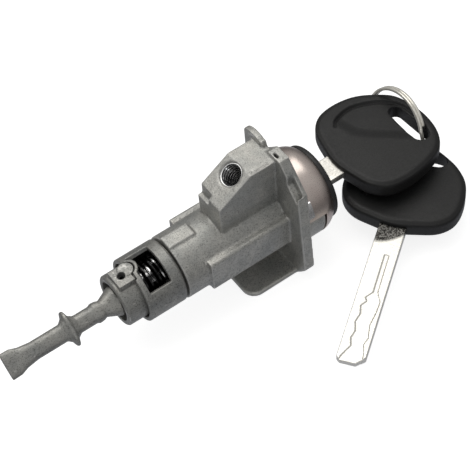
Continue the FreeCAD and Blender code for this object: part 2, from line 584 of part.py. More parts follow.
def bow_slot(height):
    """The long curved hole near the head's end, as a cutting solid."""
    middle = value("bow_start") + value("hole_from") + value("hole_width") / 2
    straight = value("hole_half") - value("hole_width") / 2
    box = Part.makeBox(value("hole_width"), 2 * straight, height,
                       Vec(middle - value("hole_width") / 2, value("hole_shift") - straight, -height / 2))
    ends = [Part.makeCylinder(value("hole_width") / 2, height,
                              Vec(middle, value("hole_shift") + side * straight, -height / 2)) for side in (-1, 1)]
    return box.fuse(ends)


def blade_solid():
    """The key's blade with a pointed tip, a root inside the head and a stepped groove milled in each face."""
    tip, root = value("blade_tip"), value("blade_root")
    half, thick = value("blade_half_width"), value("blade_half_thick")
    bevel = value("tip_chamfer")
    corners = [(tip, -half + bevel), (tip + bevel, -half), (root, -half), (root, half), (tip + bevel, half),
               (tip, half - bevel)]
    outline = Part.makePolygon([Vec(x, y, -thick) for x, y in corners + corners[:1]])
    blade = Part.Face(outline).extrude(Vec(0, 0, 2 * thick))
    for face in (-1, 1):
        blade = blade.cut(groove_cutter(face, tip, thick))
    return blade


def groove_cutter(face, tip, thick):
    """The wandering groove of a laser-cut blade, as one cutter for the upper or the lower face."""
    depth, width, pitch = value("track_depth"), value("track_width"), value("blade_length") / 15
    wander = [1.4, 0.6, 1.5, 0.2, 1.0, -0.3, 0.8, 1.5, 0.5, 0.5]
    pieces = []
    for step, side in enumerate(wander):
        low = tip - 1 + step * pitch
        pieces.append(Part.makeBox(pitch * 1.1, width, depth, Vec(low, face * side - width / 2,
                                                                  thick - depth if face > 0 else -thick)))
    return pieces[0].fuse(pieces[1:])


def key_blade():
    """The steel blade of the key in the lock."""
    return made("key_blade", blade_solid())


def bow_solid():
    """The moulded head: a thick pad with rounded edges, the ring's hole and a pocket for the blade."""
    thick = value("bow_half_thick")
    pad = Part.Face(bow_outline()).extrude(Vec(0, 0, 2 * thick))
    pad.translate(Vec(0, 0, -thick))
    rims = [edge for edge in pad.Edges if abs(abs(edge.CenterOfMass.z) - thick) < 0.01]
    pad = pad.makeFillet(value("bow_edge"), rims)
    pad = pad.cut(bow_slot(4 * thick))
    return pad.cut(Part.makeBox(2 * value("root_length"), 2 * value("blade_half_width"),
                                2 * value("blade_half_thick"),
                                Vec(value("bow_start - root_length"), -value("blade_half_width"),
                                    -value("blade_half_thick"))))


def spare_place():
    """Where the spare key hangs on the ring, under the first one."""
    turn = FreeCAD.Rotation(Vec(0, 0, 1), value("spare_turn"))
    back = FreeCAD.Placement(Vec(-value("bow_start"), 0, 0), FreeCAD.Rotation())
    return FreeCAD.Placement(Vec(value("spare_x"), value("spare_y"), value("spare_z")), turn).multiply(back)


def keys():
    """Both keys: each a blade and a moulded head."""
    key_blade()
    made("key_head", bow_solid())
    for name, shape in (("spare_key_blade", blade_solid()), ("spare_key_head", bow_solid())):
        made(name, shape).Placement = spare_place()


def key_ring():
    """The split ring: two turns of wire side by side through both keys' holes, leaning forward."""
    tilt = math.radians(value("ring_tilt"))
    normal = Vec(math.cos(tilt), 0, -math.sin(tilt))
    centre = Vec(value("ring_x"), value("ring_y"), value("ring_z"))
    offset = normal * (value("ring_wire") * 0.9)
    turns = [Part.makeTorus(value("ring_radius"), value("ring_wire"), centre + offset * side, normal)
             for side in (-1, 1)]
    return made("key_ring", turns[0].fuse(turns[1]))


def check_and_write(nodes):
    """Checks every object's state and every sub-part's shape, then writes one STEP file a sub-part."""
    failed = [o.Name for o in doc.Objects if {"Invalid", "Error"} & set(o.State)]
    if failed:
        raise RuntimeError("objects that failed: %s" % failed)
    os.makedirs("parts", exist_ok=True)
    for name in nodes:
        piece = doc.getObject(name)
        piece.Label = name
        if piece.Shape.isNull() or not piece.Shape.isValid():
            raise RuntimeError("sub-part %s has no valid shape" % name)
        piece.Shape.exportStep(os.path.join("parts", name + ".step"))
        box = piece.Shape.BoundBox
        print("%-18s %2d solids %9.2f mm3  x %.1f..%.1f  y %.1f..%.1f  z %.1f..%.1f" % (
            name, len(piece.Shape.Solids), piece.Shape.Volume, box.XMin, box.XMax, box.YMin, box.YMax,
            box.ZMin, box.ZMax))


NODES = ["housing", "lock_sleeve", "plug", "wafers", "plug_oring", "plug_circlip", "bezel_shell", "bezel_seal",
         "face_plate", "bezel_clip", "clutch_collar", "clutch_spring", "spring_seat", "tail_yoke", "yoke_pin",
         "tail_lever", "key_blade", "key_head", "key_ring", "spare_key_blade", "spare_key_head"]

fill_sheet()
housing()
lock_sleeve()
plug()
wafers()
plug_oring()
bezel()
bezel_seal()
face_plate()
bezel_clip()
circlip()
clutch_collar()
clutch_spring()
spring_seat()
tail_yoke()
yoke_pin()
tail_lever()
keys()
key_ring()
doc.recompute()
check_and_write(NODES)
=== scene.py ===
"""The looks of a car door lock with two keys: finishes, rounded castings and fine detail round the frame.

Blender's objects are in metres in the part's own frame, X along the lock towards the key and Z up. The sizes
in this file are in millimetres until a mesh is made.
"""
import json
import math

import bmesh
import bpy
import numpy as np
from mathutils import Matrix, Vector


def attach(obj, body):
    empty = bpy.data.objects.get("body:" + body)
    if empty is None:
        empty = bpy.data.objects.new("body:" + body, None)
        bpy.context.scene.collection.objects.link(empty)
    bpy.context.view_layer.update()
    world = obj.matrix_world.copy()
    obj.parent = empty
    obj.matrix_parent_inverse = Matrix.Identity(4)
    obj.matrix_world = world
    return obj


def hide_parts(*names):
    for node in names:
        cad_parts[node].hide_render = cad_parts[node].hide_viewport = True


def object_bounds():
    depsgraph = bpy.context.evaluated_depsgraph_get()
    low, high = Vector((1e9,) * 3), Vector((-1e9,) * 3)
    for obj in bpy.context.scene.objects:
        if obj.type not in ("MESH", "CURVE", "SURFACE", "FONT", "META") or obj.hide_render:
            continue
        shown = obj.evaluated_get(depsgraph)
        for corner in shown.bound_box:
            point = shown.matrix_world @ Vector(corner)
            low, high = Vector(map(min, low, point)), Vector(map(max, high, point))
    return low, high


MM = 0.001

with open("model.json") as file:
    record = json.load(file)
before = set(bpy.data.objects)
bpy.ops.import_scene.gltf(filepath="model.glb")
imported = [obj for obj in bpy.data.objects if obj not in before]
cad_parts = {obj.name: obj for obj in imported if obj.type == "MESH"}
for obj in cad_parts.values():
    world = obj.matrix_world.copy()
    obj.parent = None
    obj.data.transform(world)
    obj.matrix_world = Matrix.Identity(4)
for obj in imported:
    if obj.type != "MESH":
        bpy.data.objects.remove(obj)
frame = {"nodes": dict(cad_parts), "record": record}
NODES = frame["nodes"]
cad_box = [list(corner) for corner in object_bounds()]

# The camera, found by fitting the photograph: angles in degrees, place in metres.
CAMERA_AZIMUTH = 30.995
CAMERA_ELEVATION = 52.774
CAMERA_ROLL = 5.891
CAMERA_PLACE = Vector((-0.11923, -0.23865, 0.36307))
CAMERA_LENS = 112.86

# Places and sizes that the pieces share with the solids, in millimetres and degrees.
BOW_START = 63.5
BLADE_LENGTH, BLADE_HALF_WIDTH, BLADE_HALF_THICK, BLADE_ROOT, TIP_CHAMFER = 52.0, 4.4, 1.25, 6.5, 2.6
HEAD_HALF_THICK = 3.6
SPARE_PLACE, SPARE_TURN = Vector((67.1, -25.0, -9.6)), 36.5
RING_CENTRE, RING_TILT, RING_RADIUS = Vector((91.6, 3.4, -3.0)), 14.0, 12.8
SCREW_MOUTH, SCREW_RISE, SCREW_RUN = Vector((24.9, 0.5, 25.547)), 7.6, 12.0
BEZEL_REAR, BEZEL_FRONT, BEZEL_RADIUS, BEZEL_MOUTH, BEZEL_WALL = 41.0, 53.3, 15.0, 12.0, 0.7
SEAL_RADIUS, SEAL_BORE, SEAL_LENGTH = 12.9, 11.7, 2.0

# The smaller castings: piece, node, body, the voxel's size, rounds of smoothing and most triangles.
SMALL_CASTINGS = (("collar_casting", "clutch_collar", "rotor", 0.17, 4, 100000),
                  ("yoke_casting", "tail_yoke", "rotor", 0.15, 4, 90000),
                  ("tail_casting", "tail_lever", "tail", 0.2, 6, 60000))

# A narrow slit in the top of the flange, as two opposite corners.
CROWN_SLIT = ((38.05, -5.7, 26.6), (38.85, -3.3, 30.0))

# The ear is flattened above EAR_FROM, and fully so from EAR_START + EAR_BLEND across.
EAR_START, EAR_BLEND, EAR_FROM, EAR_FLATTENED = 0.5, 2.5, 27.8, 0.5

# A round ejector mark on the boss's near side: its centre along and up, its radius and the side's place.
MARK_ALONG, MARK_UP, MARK_RADIUS, MARK_SIDE = 19.9, 14.8, 2.0, -5.5
MARK_DEPTH, MARK_LINE, MARK_REACH = 0.14, (0.1, 0.45), (0.1, 0.4)

# The bezel's dome: (from its rear, in from its radius) and (back from its front, in from its radius).
DOME_REAR = ((0.15, 0.45), (0.9, 0.12), (2.5, 0.0))
DOME_FRONT = ((6.5, 0.0), (4.4, 0.06), (2.9, 0.36), (1.6, 0.92), (0.6, 1.62), (0.12, 2.15), (0.0, 2.5))
DOME_INSIDE = ((1.9, 2.0), (3.6, 1.2), (6.5, BEZEL_WALL))
MOUTH_CHAMFER, REAR_BEVEL, REAR_LIP = 0.1, 0.4, 0.6

# The gap in the bezel for the housing's lip: its length, its far side and its two heights.
GAP_LENGTH, GAP_SIDE, GAP_LOW, GAP_HIGH = 8.0, -6.0, -9.4, 2.6

# The rubber ring's round edge: (from its rear, in from its radius).
SEAL_EDGE = ((0.0, 0.25), (0.35, 0.02), (1.2, 0.06), (1.75, 0.4), (SEAL_LENGTH, 0.85))
BORE_BEVEL = (0.2, 0.15)

# Edges of the turned pieces sharper than this stay sharp in their shading.
SHARP_ANGLE = math.radians(40)

# The key's milled track, in the key's own frame: (along, across) points of its two edges.
TRACK_NEAR = ((-52.5, 3.6), (-50.2, 3.0), (-46.2, 1.1), (-43.6, 1.9), (-40.9, 1.2), (-37.6, 2.1),
              (-34.6, 1.3), (-31.5, 2.0), (-29.6, 0.6), (-28.3, 1.4), (-25.9, -0.4), (-11.0, -0.3))
TRACK_FAR = ((-52.5, -3.6), (-47.9, -3.3), (-45.0, -2.5), (-42.5, -3.2), (-37.7, -2.5), (-33.0, -3.2),
             (-29.0, -3.4), (-25.5, -1.8), (-11.0, -1.7))
TRACK_DEPTH, TRACK_SOFTNESS, TRACK_END = 0.32, 0.13, (-11.3, -11.0)

# The blade's squarer corner, the band in which the track fades out, and the painted reflection of the black
# head next to the head.
TIP_CORNER, BLADE_FACE = 1.2, (0.5, 0.1)
REFLECTION_CURVE, REFLECTION_EDGE = 0.06, (-7.8, -6.0)

# The key heads' outlines, in the key's own frame; the front is the end that holds the ring. The face is the
# band below HEAD_HALF_THICK in which the crown and the hollow fade out.
HEAD_REAR = ((28.2, 14.8), (21.8, 18.5), (14.2, 19.7), (7.6, 18.4), (3.3, 14.2), (1.3, 7.9), (0.0, 0.0),
             (1.3, -7.9), (3.3, -14.2), (7.6, -18.4), (14.2, -19.7))
HEAD_FRONT = ((21.8, -18.9), (28.8, -16.6), (32.9, -12.6), (35.1, -6.6), (35.38, 1.0), (33.3, 9.6))
SPARE_FRONT = ((21.8, -18.6), (27.0, -15.4), (30.8, -11.0), (34.1, -5.2), (35.3, 1.6), (33.0, 9.3))
HEAD_FACE, HEAD_CROWN, HEAD_CROWN_REACH = (1.2, 0.3), 0.35, 12.0
HEAD_EDGE_ROUND, HEAD_EDGE_STEPS = 2.0, 6

# The ring's hole in the heads: a slot across the key with a round at each end.
HOLE_ALONG, HOLE_HIGH, HOLE_LOW, HOLE_HIGH_RADIUS, HOLE_LOW_RADIUS = 28.65, 4.2, -8.0, 2.4, 2.95
HOLE_STEPS = 16

# The scooped hollow in the heads' faces: a sharp upper edge and a lower one that fades out.
HOLLOW_UPPER = ((8.6, 11.4), (11.4, 14.0), (18.4, 15.1), (26.2, 12.0), (31.2, 7.4), (33.1, 1.0),
                (32.6, -5.4), (30.2, -10.6))
HOLLOW_LOWER = ((30.2, -10.6), (23.2, -7.8), (19.2, -4.3), (14.8, -0.6), (10.4, 4.6), (8.6, 11.4))
HOLLOW_DEPTH, HOLLOW_WALL, HOLLOW_FADE = 0.75, 0.5, 5.0
HOLLOW_LINE_DEPTH, HOLLOW_LINE_WIDTH = 0.5, 0.42

# The floor's reach from the origin and its gap below the part, in metres.
FLOOR_REACH, FLOOR_GAP = 6.0, 0.0001


def node(tree, kind, inputs=None, **settings):
    """A shader node with its settings; each input is a number, a colour or another node's socket."""
    made = tree.nodes.new("ShaderNode" + kind)
    for name, setting in settings.items():
        setattr(made, name, setting)
    for name, given in (inputs or {}).items():
        socket = made.inputs[name]
        if isinstance(given, bpy.types.NodeSocket):
            tree.links.new(given, socket)
        else:
            socket.default_value = given
    return made


def material(name, **numbers):
    """A material with plain numbers on its shader's sockets; returns it, its tree and its shader."""
    made = bpy.data.materials.new(name)
    made.use_nodes = True
    shader = made.node_tree.nodes["Principled BSDF"]
    for socket, number in numbers.items():
        shader.inputs[socket.replace("_", " ")].default_value = number
    return made, made.node_tree, shader


def place_of(tree):
    """Object coordinates in metres, the same as the frame's."""
    return node(tree, "TexCoord").outputs["Object"]


def grain(tree, size_mm, detail=2.0, roughness=0.5):
    """Noise whose features are about size_mm across; its middle is 0.5."""
    made = node(tree, "TexNoise", {"Vector": place_of(tree), "Scale": 1 / (size_mm * MM),
                                   "Detail": detail, "Roughness": roughness})
    return made.outputs["Fac"]


def ramp(tree, factor, *stops):
    """A colour ramp through (position, colour) stops; a single number is a grey."""
    made = node(tree, "ValToRGB", {"Fac": factor})
    elements = made.color_ramp.elements
    while len(elements) < len(stops):
        elements.new(0.5)
    for element, (position, colour) in zip(elements, stops):
        element.position = position
        element.color = (colour,) * 3 + (1,) if isinstance(colour, (int, float)) else (*colour, 1)
    return made.outputs["Color"]


def mixed(tree, factor, first, second, how="MIX"):
    """Two colours mixed by a factor."""
    made = tree.nodes.new("ShaderNodeMix")
    made.data_type = "RGBA"
    made.blend_type = how
    for index, given in ((0, factor), (6, first), (7, second)):
        socket = made.inputs[index]
        if isinstance(given, bpy.types.NodeSocket):
            tree.links.new(given, socket)
        elif index == 0:
            socket.default_value = given
        else:
            socket.default_value = (*given, 1)
    return made.outputs[2]


def spread(tree, factor, low, high, start=0.3, end=0.7):
    """A factor from start to end turned into a number from low to high."""
    made = node(tree, "MapRange", {"Value": factor, "From Min": start, "From Max": end,
                                   "To Min": low, "To Max": high})
    return made.outputs["Result"]


def bumps(tree, shader, *layers):
    """Bump from several (height, depth in mm) layers, put on the shader's normal."""
    normal = None
    for height, depth_mm in layers:
        inputs = {"Height": height, "Distance": depth_mm * MM, "Strength": 1.0}
        if normal is not None:
            inputs["Normal"] = normal
        normal = node(tree, "Bump", inputs).outputs["Normal"]
    tree.links.new(normal, shader.inputs["Normal"])


def edges_of(tree, start, end):
    """How sharply the surface stands out, from 0 on flats to 1 on outer edges."""
    return spread(tree, node(tree, "NewGeometry").outputs["Pointiness"], 0, 1, start, end)


def cast_zinc(name="cast_zinc", tone=0.52, warm=0.008, worn_from=0.515, worn_to=0.56):
    """Bead-blasted die-cast zinc: fine blast grain, faint clouds, brighter worn edges, and hollows darkened
    as painted shade.
    """
    made, tree, shader = material(name, Metallic=0.72)
    dark = (tone * 0.84, tone * 0.85, tone * 0.82)
    light = (tone * 1.14 + warm, tone * 1.12 + warm, tone * 1.06)
    clouds = ramp(tree, grain(tree, 9.0, 3.0, 0.6), (0.32, dark), (0.68, light))
    speckle = ramp(tree, grain(tree, 0.42, 3.0, 0.75), (0.30, 0.32), (0.50, 0.95), (0.72, 1.0))
    mottled = ramp(tree, grain(tree, 1.7, 3.0, 0.6), (0.30, 0.84), (0.70, 1.0))
    body = mixed(tree, 1.0, mixed(tree, 1.0, clouds, speckle, "MULTIPLY"), mottled, "MULTIPLY")
    # Painted shade: concave hollows and creases darkened to near black.
    hollow = mixed(tree, edges_of(tree, 0.485, 0.44), body, (0.07, 0.068, 0.062))
    worn = mixed(tree, edges_of(tree, worn_from, worn_to), hollow, (0.62, 0.61, 0.58))
    tree.links.new(worn, shader.inputs["Base Color"])
    tree.links.new(spread(tree, grain(tree, 1.6, 4.0), 0.38, 0.56), shader.inputs["Roughness"])
    bumps(tree, shader, (grain(tree, 2.4, 2.0), 0.06), (grain(tree, 0.42, 2.0, 0.6), 0.10),
          (grain(tree, 0.12, 1.0), 0.012))
    return made


def cut_zinc():
    """Zinc freshly cut by a tap: shiny crests over grooves darkened to near black as painted shade."""
    made, tree, shader = material("cut_zinc", Metallic=1.0)
    colour = ramp(tree, grain(tree, 0.8, 3.0), (0.3, 0.86), (0.7, 0.98))
    # Painted shade: the thread's grooves are near black, and the crests keep the metal's colour.
    shaded_grooves = mixed(tree, edges_of(tree, 0.49, 0.53), (0.012, 0.012, 0.013), colour)
    tree.links.new(shaded_grooves, shader.inputs["Base Color"])
    tree.links.new(spread(tree, grain(tree, 0.4, 2.0), 0.14, 0.28), shader.inputs["Roughness"])
    bumps(tree, shader, (grain(tree, 0.3, 2.0), 0.008))
    return made


def satin_bezel():
    """Satin nickel with a warm tone and a very fine turned grain."""
    made, tree, shader = material("satin_bezel", Metallic=1.0)
    colour = ramp(tree, grain(tree, 5.0, 3.0), (0.3, (0.62, 0.53, 0.49)), (0.7, (0.72, 0.64, 0.59)))
    tree.links.new(colour, shader.inputs["Base Color"])
    tree.links.new(spread(tree, grain(tree, 0.3, 3.0), 0.26, 0.36), shader.inputs["Roughness"])
    bumps(tree, shader, (grain(tree, 0.15, 2.0), 0.004))
    return made


def bright_steel():
    """Plated steel with a little unevenness in its polish."""
    made, tree, shader = material("steel", Metallic=1.0)
    tone = 0.84
    colour = ramp(tree, grain(tree, 2.0, 3.0), (0.3, tone * 0.9), (0.7, tone * 1.08))
    tree.links.new(colour, shader.inputs["Base Color"])
    tree.links.new(spread(tree, grain(tree, 0.5, 3.0), 0.14, 0.30), shader.inputs["Roughness"])
    bumps(tree, shader, (grain(tree, 0.4, 2.0), 0.006))
    return made


def plated_wire():
    """The split ring's bright plating, slightly cream."""
    made, tree, shader = material("plated_wire", Metallic=0.6)
    colour = ramp(tree, grain(tree, 1.2, 3.0), (0.3, (0.80, 0.77, 0.69)), (0.7, (0.97, 0.95, 0.88)))
    tree.links.new(colour, shader.inputs["Base Color"])
    tree.links.new(spread(tree, grain(tree, 0.5, 3.0), 0.12, 0.26), shader.inputs["Roughness"])
    bumps(tree, shader, (grain(tree, 0.5, 2.0), 0.008))
    return made


def key_steel(name="key_steel", reflection_strength=0.25):
    """Nickel silver with a fine satin, milled hollows darkened as painted shade and a speckled painted
    reflection of the black head next to the head.
    """
    made, tree, shader = material(name, Metallic=0.85)
    colour = ramp(tree, grain(tree, 0.40, 4.0, 0.75), (0.30, (0.52, 0.50, 0.45)), (0.44, (0.86, 0.84, 0.78)),
                  (0.70, (0.97, 0.95, 0.91)))
    # Painted shade: the milled track's hollows are darkened.
    hollow = mixed(tree, edges_of(tree, 0.475, 0.41), colour, (0.33, 0.31, 0.28))
    # Painted reflection of the black head: speckled near black where near_head marks the blade's root.
    near_head = node(tree, "Attribute", attribute_name="near_head").outputs["Fac"]
    dots = spread(tree, grain(tree, 0.5, 3.0, 0.75), 1, 0.72, 0.46, 0.62)
    speckled_reflection = node(tree, "Math", {0: near_head, 1: dots}, operation="MULTIPLY").outputs[0]
    amount = node(tree, "Math", {0: speckled_reflection, 1: reflection_strength}, operation="MULTIPLY").outputs[0]
    tree.links.new(mixed(tree, amount, hollow, (0.012, 0.011, 0.010)), shader.inputs["Base Color"])
    tree.links.new(spread(tree, grain(tree, 0.7, 3.0), 0.26, 0.44), shader.inputs["Roughness"])
    bumps(tree, shader, (grain(tree, 0.3, 3.0), 0.014))
    return made


def brass():
    """Machined brass, darkened to near black over the stem behind the housing as painted shade."""
    made, tree, shader = material("brass_plug", Metallic=1.0)
    colour = ramp(tree, grain(tree, 3.0, 3.0), (0.3, (0.50, 0.37, 0.16)), (0.7, (0.66, 0.51, 0.26)))
    along = node(tree, "SeparateXYZ", {"Vector": place_of(tree)}).outputs["X"]
    # Painted shade: the stem inside the collar, seen through its window, is near black.
    stem_shade = spread(tree, along, 1, 0, -1.0 * MM, 2.0 * MM)
    tree.links.new(mixed(tree, stem_shade, colour, (0.012, 0.012, 0.011)), shader.inputs["Base Color"])
    tree.links.new(spread(tree, grain(tree, 0.6, 2.0), 0.24, 0.40), shader.inputs["Roughness"])
    bumps(tree, shader, (grain(tree, 0.25, 2.0), 0.006))
    return made


def black_rubber(name="black_rubber"):
    """Soft black rubber with a slight bloom."""
    made, tree, shader = material(name)
    colour = ramp(tree, grain(tree, 1.5, 3.0), (0.3, 0.010), (0.7, 0.026))
    tree.links.new(colour, shader.inputs["Base Color"])
    tree.links.new(spread(tree, grain(tree, 0.5, 2.0), 0.42, 0.60), shader.inputs["Roughness"])
    bumps(tree, shader, (grain(tree, 0.2, 2.0), 0.01))
    return made


def black_spring():
    """Spring wire in black oil, bare and bright where the oil is rubbed off."""
    made, tree, shader = material("black_spring", Metallic=1.0)
    colour = ramp(tree, grain(tree, 1.9, 3.0), (0.42, 0.012), (0.56, 0.05), (0.62, 0.75))
    tree.links.new(colour, shader.inputs["Base Color"])
    tree.links.new(spread(tree, grain(tree, 0.4, 2.0), 0.10, 0.24), shader.inputs["Roughness"])
    bumps(tree, shader, (grain(tree, 0.5, 2.0), 0.02))
    return made


def black_plastic():
    """Fine-textured black moulding of the key heads."""
    made, tree, shader = material("black_plastic", Specular_IOR_Level=0.42)
    colour = ramp(tree, grain(tree, 0.35, 3.0, 0.7), (0.3, 0.003), (0.72, 0.011))
    tree.links.new(colour, shader.inputs["Base Color"])
    tree.links.new(spread(tree, grain(tree, 0.6, 3.0), 0.40, 0.56), shader.inputs["Roughness"])
    bumps(tree, shader, (grain(tree, 0.28, 2.0, 0.6), 0.03), (grain(tree, 0.11, 1.0), 0.012))
    return made


def finish_nodes():
    """Makes the finishes and gives every node that of its slot, but two nodes an oiled one and the yoke pin
    a dark one that is painted shade in its hole.
    """
    made = {"cast_zinc": cast_zinc(), "steel": bright_steel(), "brass_plug": brass(),
            "black_rubber": black_rubber(), "satin_bezel": satin_bezel(), "black_spring": black_spring(),
            "key_steel": key_steel(), "black_plastic": black_plastic()}
    # The yoke pin's dark finish is painted shade in the pin's hole.
    special = {"spring_seat": made["black_spring"], "plug_circlip": made["black_spring"],
               "yoke_pin": black_rubber("shaded_pin_hole")}
    for part in frame["record"]["subparts"]:
        mesh = NODES[part["node"]].data
        mesh.materials.clear()
        mesh.materials.append(special.get(part["node"], made[part["material_slot"]]))
    return made


def object_from(name, mesh):
    """A new object in the scene."""
    made = bpy.data.objects.new(name, mesh)
    bpy.context.scene.collection.objects.link(made)
    return made


def bridged(loops, count, wrapped=False):
    """Faces between loops of count vertices each; the end loops are capped, or joined where wrapped."""
    faces = []
    for loop in range(loops if wrapped else loops - 1):
        here, there = loop * count, (loop + 1) % loops * count
        for index in range(count):
            after = (index + 1) % count
            faces.append((here + index, here + after, there + after, there + index))
    if not wrapped:
        faces.append(tuple(range(count)))
        faces.append(tuple((loops - 1) * count + index for index in reversed(range(count))))
    return faces


def solid_from(name, verts, faces):
    """A closed object of vertices in millimetres, with all its faces turned outward."""
    mesh = bpy.data.meshes.new(name)
    mesh.from_pydata((np.array(verts) * MM).tolist(), [], faces)
    shape = bmesh.new()
    shape.from_mesh(mesh)
    bmesh.ops.recalc_face_normals(shape, faces=shape.faces)
    shape.to_mesh(mesh)
    shape.free()
    return object_from(name, mesh)


def plate(name, outline, low, high):
    """A flat plate of an (x, y) outline between two heights."""
    verts = [(x, y, z) for z in (low, high) for x, y in outline]
    return solid_from(name, verts, bridged(2, len(outline)))


def settled(piece):
    """Applies a piece's modifiers to its mesh."""
    graph = bpy.context.evaluated_depsgraph_get()
    mesh = bpy.data.meshes.new_from_object(piece.evaluated_get(graph))
    piece.modifiers.clear()
    piece.data = mesh


def rounded(piece, voxel, rounds, most_triangles):
    """Meshes a piece evenly again and smooths it, so that its edges are rounded as a casting's are."""
    remesh = piece.modifiers.new("remesh", "REMESH")
    remesh.mode = "VOXEL"
    remesh.voxel_size = voxel * MM
    smooth = piece.modifiers.new("smooth", "SMOOTH")
    smooth.factor = 0.5
    smooth.iterations = rounds
    settled(piece)
    triangles = 2 * len(piece.data.polygons)
    if triangles > most_triangles:
        thin_out = piece.modifiers.new("thin_out", "DECIMATE")
        thin_out.ratio = most_triangles / triangles
        settled(piece)


def cut_with(piece, tool):
    """Cuts a closed tool out of a piece and deletes the tool."""
    cutter = piece.modifiers.new("cut", "BOOLEAN")
    cutter.operation = "DIFFERENCE"
    cutter.solver = "EXACT"
    cutter.object = tool
    settled(piece)
    bpy.data.objects.remove(tool)


def cut_box(piece, low, high):
    """Cuts a box between two corners out of a piece."""
    outline = ((low[0], low[1]), (high[0], low[1]), (high[0], high[1]), (low[0], high[1]))
    cut_with(piece, plate(piece.name + "_tool", outline, low[2], high[2]))


def places(piece):
    """A piece's vertices as an array of rows, in millimetres."""
    flat = np.empty(3 * len(piece.data.vertices))
    piece.data.vertices.foreach_get("co", flat)
    return flat.reshape(-1, 3) / MM


def set_places(piece, rows):
    """Puts back a piece's vertices, given in millimetres."""
    piece.data.vertices.foreach_set("co", (rows * MM).ravel())
    piece.data.update()


def dressed(piece, body, slot, replaced=(), finish=None):
    """Gives a piece the given finish or that of its slot, smooth shading and its body, and hides the nodes
    that it stands for.
    """
    piece.data.materials.clear()
    piece.data.materials.append(finish or FINISH[slot])
    piece.data.shade_smooth()
    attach(piece, body)
    for name in replaced:
        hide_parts(name)


def distance_to(points, line, closed):
    """Each point's distance to a line of short straight pieces, in the plane."""
    line = np.array(line)
    ends = np.roll(line, -1, axis=0) if closed else line[1:]
    best = np.full(len(points), 1e9)
    for start, end in zip(line, ends):
        span = end - start
        along = np.clip((points - start) @ span / (span @ span), 0, 1)
        best = np.minimum(best, np.linalg.norm(points - start - along[:, None] * span, axis=1))
    return best


def inside_of(points, line):
    """Which points lie inside a closed line, in the plane."""
    crossed = np.zeros(len(points), bool)
    ends = line[1:] + line[:1]
    for start, end in zip(line, ends):
        if start[1] == end[1]:
            continue
        spans = (points[:, 1] < start[1]) != (points[:, 1] < end[1])
        at = start[0] + (points[:, 1] - start[1]) / (end[1] - start[1]) * (end[0] - start[0])
        crossed ^= spans & (points[:, 0] < at)
    return crossed


def smooth_step(numbers, low, high):
    """From 0 at low to 1 at high, with soft ends."""
    t = np.clip((numbers - low) / (high - low), 0, 1)
    return t * t * (3 - 2 * t)


def curve_through(points, steps, closed=False):
    """Points along a smooth line through the given ones."""
    count = len(points)
    points = [np.array(point, float) for point in points]
    line = []
    for index in range(count if closed else count - 1):
        if closed:
            before, start, end, after = (points[(index + shift) % count] for shift in (-1, 0, 1, 2))
        else:
            before, start = points[max(index - 1, 0)], points[index]
            end, after = points[index + 1], points[min(index + 2, count - 1)]
        for step in range(steps):
            t = step / steps
            run = (end - before) * t
            bend = (2 * before - 5 * start + 4 * end - after) * t ** 2
            turn = (3 * start - before - 3 * end + after) * t ** 3
            line.append(0.5 * (2 * start + run + bend + turn))
    if not closed:
        line.append(points[-1])
    return line


def housing_piece():
    """The housing as a rounded casting, with a slit in its flange, a flattened ear and an ejector mark."""
    piece = object_from("housing_casting", NODES["housing"].data.copy())
    cut_box(piece, *CROWN_SLIT)
    rounded(piece, voxel=0.32, rounds=5, most_triangles=185000)
    rows = places(piece)
    on_ear = smooth_step(rows[:, 1], EAR_START, EAR_START + EAR_BLEND)
    rows[:, 2] -= EAR_FLATTENED * on_ear * np.maximum(rows[:, 2] - EAR_FROM, 0)
    from_mark = np.hypot(rows[:, 0] - MARK_ALONG, rows[:, 2] - MARK_UP)
    on_side = 1 - smooth_step(np.abs(rows[:, 1] - MARK_SIDE), *MARK_REACH)
    rows[:, 1] += on_side * MARK_DEPTH * (1 - smooth_step(np.abs(from_mark - MARK_RADIUS), *MARK_LINE))
    set_places(piece, rows)
    dressed(piece, "lock_body", "cast_zinc", ["housing"])


def small_castings():
    """The collar, yoke and tail lever as rounded castings, duller than the housing."""
    dull = cast_zinc("dull_cast_zinc", 0.40, worn_from=0.56, worn_to=0.70)
    for name, node_name, body, voxel, rounds, most_triangles in SMALL_CASTINGS:
        piece = object_from(name, NODES[node_name].data.copy())
        rounded(piece, voxel, rounds, most_triangles)
        dressed(piece, body, "cast_zinc", [node_name], dull)


def turned_piece(name, profile, steps=256):
    """A closed profile of (x, radius) points turned about the X axis."""
    verts = []
    for step in range(steps):
        angle = 2 * math.pi * step / steps
        verts += [(x, radius * math.cos(angle), radius * math.sin(angle)) for x, radius in profile]
    return solid_from(name, verts, bridged(steps, len(profile), wrapped=True))


def bezel_piece():
    """The domed bezel with its gap for the housing's lip."""
    dome = [(BEZEL_REAR + along, BEZEL_RADIUS - inward) for along, inward in DOME_REAR]
    dome += [(BEZEL_FRONT - back, BEZEL_RADIUS - inward) for back, inward in DOME_FRONT]
    dome.append((BEZEL_FRONT, BEZEL_MOUTH + MOUTH_CHAMFER))
    profile = [tuple(point) for point in curve_through(dome, 5)]
    profile += [(BEZEL_FRONT - MOUTH_CHAMFER, BEZEL_MOUTH), (BEZEL_FRONT - BEZEL_WALL, BEZEL_MOUTH)]
    profile += [(BEZEL_FRONT - back, BEZEL_RADIUS - inward) for back, inward in DOME_INSIDE]
    profile.append((BEZEL_REAR, BEZEL_RADIUS - REAR_BEVEL - BEZEL_WALL))
    profile.append((BEZEL_REAR, BEZEL_RADIUS - REAR_LIP))
    bezel = turned_piece("bezel_dome", profile)
    cut_box(bezel, (BEZEL_REAR - 1, -2 * BEZEL_RADIUS, GAP_LOW),
            (BEZEL_REAR + GAP_LENGTH, GAP_SIDE, GAP_HIGH))
    dressed(bezel, "lock_body", "satin_bezel", ["bezel_shell"])
    bezel.data.set_sharp_from_angle(angle=SHARP_ANGLE)


